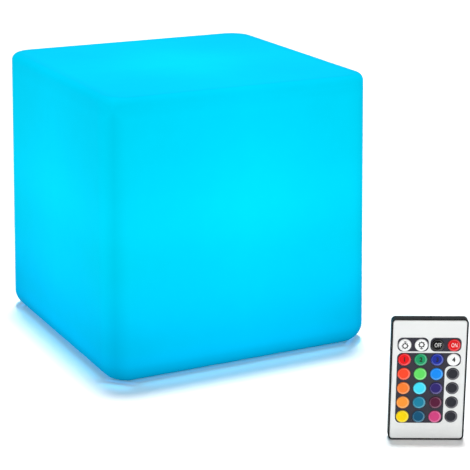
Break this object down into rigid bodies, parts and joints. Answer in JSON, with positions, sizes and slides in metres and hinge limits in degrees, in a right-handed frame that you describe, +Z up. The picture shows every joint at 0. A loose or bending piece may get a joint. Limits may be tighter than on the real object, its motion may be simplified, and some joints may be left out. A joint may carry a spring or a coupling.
{
  "type": "led cube light",
  "caption": "Glowing moulded cube light with a sealed battery lamp module in its base and a card remote control.",
  "frame": {"origin": "centre of the cube's base, on the floor", "axes": "+Z up, -Y out of the cube's front face, +X to the right of that face; the remote stands on the -Y side"},
  "size_m": [0.2166, 0.4002, 0.209],
  "materials": {
    "lit_polyethylene": "translucent rotomoulded polyethylene, lit cyan from inside",
    "white_plastic": "moulded",
    "grey_plastic": "moulded",
    "black_plastic": "moulded",
    "silicone": "moulded",
    "grey_rubber": "moulded",
    "foam": "die-cut foam",
    "brass": "turned and knurled",
    "stainless_steel": "cold-headed",
    "nickel_plate": "nickel plated",
    "cell_sleeve": "shrink sleeve",
    "green_board": "solder mask",
    "white_board": "white solder mask",
    "led_package": "moulded package with a phosphor well",
    "red_wire": "insulated",
    "white_wire": "insulated",
    "frosted_dome": "frosted",
    "clear_lens": "cast epoxy",
    "remote_black": "moulded",
    "remote_face": "printed film on moulded plastic",
    "key_field": "printed film",
    "key_white": "moulded",
    "key_black": "moulded",
    "key_red": "moulded",
    "key_green": "moulded",
    "key_blue": "moulded",
    "key_vermilion": "moulded",
    "key_light_green": "moulded",
    "key_sky_blue": "moulded",
    "key_orange": "moulded",
    "key_cyan": "moulded",
    "key_violet": "moulded",
    "key_amber": "moulded",
    "key_teal": "moulded",
    "key_purple": "moulded",
    "key_yellow": "moulded",
    "key_dark_teal": "moulded",
    "key_pink": "moulded",
    "key_dark": "moulded"
  },
  "bodies": {
    "cube": {"cube_shell": "lit_polyethylene", "screw_inserts": "brass", "base_gasket": "silicone", "base_cover": "white_plastic", "base_screws": "stainless_steel", "button_seal": "silicone", "tact_switch": "black_plastic", "charge_socket": "black_plastic", "socket_nut": "nickel_plate", "battery_pad": "foam", "battery_holder": "black_plastic", "battery_cell": "cell_sleeve", "battery_contacts": "nickel_plate", "control_board": "green_board", "board_screws": "stainless_steel", "lead_connectors": "white_plastic", "battery_lead": "red_wire", "led_lead": "white_wire", "led_board": "white_board", "led_board_screws": "stainless_steel", "led_packages": "led_package", "ir_receiver": "black_plastic", "diffuser_dome": "frosted_dome", "dome_seal": "silicone"},
    "power_button": {"power_button": "grey_plastic", "switch_plunger": "black_plastic"},
    "port_plug": {"port_plug": "grey_rubber"},
    "remote": {"remote_back_case": "remote_black", "remote_front_plate": "remote_face", "remote_key_label": "key_field", "remote_keypad": "silicone", "remote_board": "green_board", "ir_emitter": "clear_lens", "coin_contacts": "nickel_plate"},
    "battery_tray": {"battery_tray": "remote_black", "coin_cell": "stainless_steel"},
    "key_brighter": {"key_brighter": "key_white"},
    "key_dimmer": {"key_dimmer": "key_white"},
    "key_off": {"key_off": "key_black"},
    "key_on": {"key_on": "key_red"},
    "key_red": {"key_red": "key_red"},
    "key_green": {"key_green": "key_green"},
    "key_blue": {"key_blue": "key_blue"},
    "key_white": {"key_white": "key_white"},
    "key_vermilion": {"key_vermilion": "key_vermilion"},
    "key_light_green": {"key_light_green": "key_light_green"},
    "key_sky_blue": {"key_sky_blue": "key_sky_blue"},
    "key_flash": {"key_flash": "key_dark"},
    "key_orange": {"key_orange": "key_orange"},
    "key_cyan": {"key_cyan": "key_cyan"},
    "key_violet": {"key_violet": "key_violet"},
    "key_strobe": {"key_strobe": "key_dark"},
    "key_amber": {"key_amber": "key_amber"},
    "key_teal": {"key_teal": "key_teal"},
    "key_purple": {"key_purple": "key_purple"},
    "key_fade": {"key_fade": "key_dark"},
    "key_yellow": {"key_yellow": "key_yellow"},
    "key_dark_teal": {"key_dark_teal": "key_dark_teal"},
    "key_pink": {"key_pink": "key_pink"},
    "key_smooth": {"key_smooth": "key_dark"}
  },
  "joints": [
    {"name": "power_button_press", "type": "slide", "parent": "cube", "child": "power_button", "axis": [0, 0, 1], "range_m": [0, 0.001], "stiffness_N_per_m": 1500, "springref_m": -0.0005},
    {"name": "port_plug_pull", "type": "slide", "parent": "cube", "child": "port_plug", "axis": [0, 0, -1], "range_m": [0, 0.008]},
    {"name": "remote_lift", "type": "slide", "parent": "cube", "child": "remote", "axis": [0, 0, 1], "range_m": [0, 0.06]},
    {"name": "battery_tray_slide", "type": "slide", "parent": "remote", "child": "battery_tray", "axis": [0, 0, -1], "range_m": [0, 0.024]},
    {"name": "key_brighter_press", "type": "slide", "parent": "remote", "child": "key_brighter", "axis": [0.454, 0.891, 0], "range_m": [0, 0.0003], "stiffness_N_per_m": 2000, "springref_m": -0.0002},
    {"name": "key_dimmer_press", "type": "slide", "parent": "remote", "child": "key_dimmer", "axis": [0.454, 0.891, 0], "range_m": [0, 0.0003], "stiffness_N_per_m": 2000, "springref_m": -0.0002},
    {"name": "key_off_press", "type": "slide", "parent": "remote", "child": "key_off", "axis": [0.454, 0.891, 0], "range_m": [0, 0.0003], "stiffness_N_per_m": 2000, "springref_m": -0.0002},
    {"name": "key_on_press", "type": "slide", "parent": "remote", "child": "key_on", "axis": [0.454, 0.891, 0], "range_m": [0, 0.0003], "stiffness_N_per_m": 2000, "springref_m": -0.0002},
    {"name": "key_red_press", "type": "slide", "parent": "remote", "child": "key_red", "axis": [0.454, 0.891, 0], "range_m": [0, 0.0003], "stiffness_N_per_m": 2000, "springref_m": -0.0002},
    {"name": "key_green_press", "type": "slide", "parent": "remote", "child": "key_green", "axis": [0.454, 0.891, 0], "range_m": [0, 0.0003], "stiffness_N_per_m": 2000, "springref_m": -0.0002},
    {"name": "key_blue_press", "type": "slide", "parent": "remote", "child": "key_blue", "axis": [0.454, 0.891, 0], "range_m": [0, 0.0003], "stiffness_N_per_m": 2000, "springref_m": -0.0002},
    {"name": "key_white_press", "type": "slide", "parent": "remote", "child": "key_white", "axis": [0.454, 0.891, 0], "range_m": [0, 0.0003], "stiffness_N_per_m": 2000, "springref_m": -0.0002},
    {"name": "key_vermilion_press", "type": "slide", "parent": "remote", "child": "key_vermilion", "axis": [0.454, 0.891, 0], "range_m": [0, 0.0003], "stiffness_N_per_m": 2000, "springref_m": -0.0002},
    {"name": "key_light_green_press", "type": "slide", "parent": "remote", "child": "key_light_green", "axis": [0.454, 0.891, 0], "range_m": [0, 0.0003], "stiffness_N_per_m": 2000, "springref_m": -0.0002},
    {"name": "key_sky_blue_press", "type": "slide", "parent": "remote", "child": "key_sky_blue", "axis": [0.454, 0.891, 0], "range_m": [0, 0.0003], "stiffness_N_per_m": 2000, "springref_m": -0.0002},
    {"name": "key_flash_press", "type": "slide", "parent": "remote", "child": "key_flash", "axis": [0.454, 0.891, 0], "range_m": [0, 0.0003], "stiffness_N_per_m": 2000, "springref_m": -0.0002},
    {"name": "key_orange_press", "type": "slide", "parent": "remote", "child": "key_orange", "axis": [0.454, 0.891, 0], "range_m": [0, 0.0003], "stiffness_N_per_m": 2000, "springref_m": -0.0002},
    {"name": "key_cyan_press", "type": "slide", "parent": "remote", "child": "key_cyan", "axis": [0.454, 0.891, 0], "range_m": [0, 0.0003], "stiffness_N_per_m": 2000, "springref_m": -0.0002},
    {"name": "key_violet_press", "type": "slide", "parent": "remote", "child": "key_violet", "axis": [0.454, 0.891, 0], "range_m": [0, 0.0003], "stiffness_N_per_m": 2000, "springref_m": -0.0002},
    {"name": "key_strobe_press", "type": "slide", "parent": "remote", "child": "key_strobe", "axis": [0.454, 0.891, 0], "range_m": [0, 0.0003], "stiffness_N_per_m": 2000, "springref_m": -0.0002},
    {"name": "key_amber_press", "type": "slide", "parent": "remote", "child": "key_amber", "axis": [0.454, 0.891, 0], "range_m": [0, 0.0003], "stiffness_N_per_m": 2000, "springref_m": -0.0002},
    {"name": "key_teal_press", "type": "slide", "parent": "remote", "child": "key_teal", "axis": [0.454, 0.891, 0], "range_m": [0, 0.0003], "stiffness_N_per_m": 2000, "springref_m": -0.0002},
    {"name": "key_purple_press", "type": "slide", "parent": "remote", "child": "key_purple", "axis": [0.454, 0.891, 0], "range_m": [0, 0.0003], "stiffness_N_per_m": 2000, "springref_m": -0.0002},
    {"name": "key_fade_press", "type": "slide", "parent": "remote", "child": "key_fade", "axis": [0.454, 0.891, 0], "range_m": [0, 0.0003], "stiffness_N_per_m": 2000, "springref_m": -0.0002},
    {"name": "key_yellow_press", "type": "slide", "parent": "remote", "child": "key_yellow", "axis": [0.454, 0.891, 0], "range_m": [0, 0.0003], "stiffness_N_per_m": 2000, "springref_m": -0.0002},
    {"name": "key_dark_teal_press", "type": "slide", "parent": "remote", "child": "key_dark_teal", "axis": [0.454, 0.891, 0], "range_m": [0, 0.0003], "stiffness_N_per_m": 2000, "springref_m": -0.0002},
    {"name": "key_pink_press", "type": "slide", "parent": "remote", "child": "key_pink", "axis": [0.454, 0.891, 0], "range_m": [0, 0.0003], "stiffness_N_per_m": 2000, "springref_m": -0.0002},
    {"name": "key_smooth_press", "type": "slide", "parent": "remote", "child": "key_smooth", "axis": [0.454, 0.891, 0], "range_m": [0, 0.0003], "stiffness_N_per_m": 2000, "springref_m": -0.0002}
  ]
}
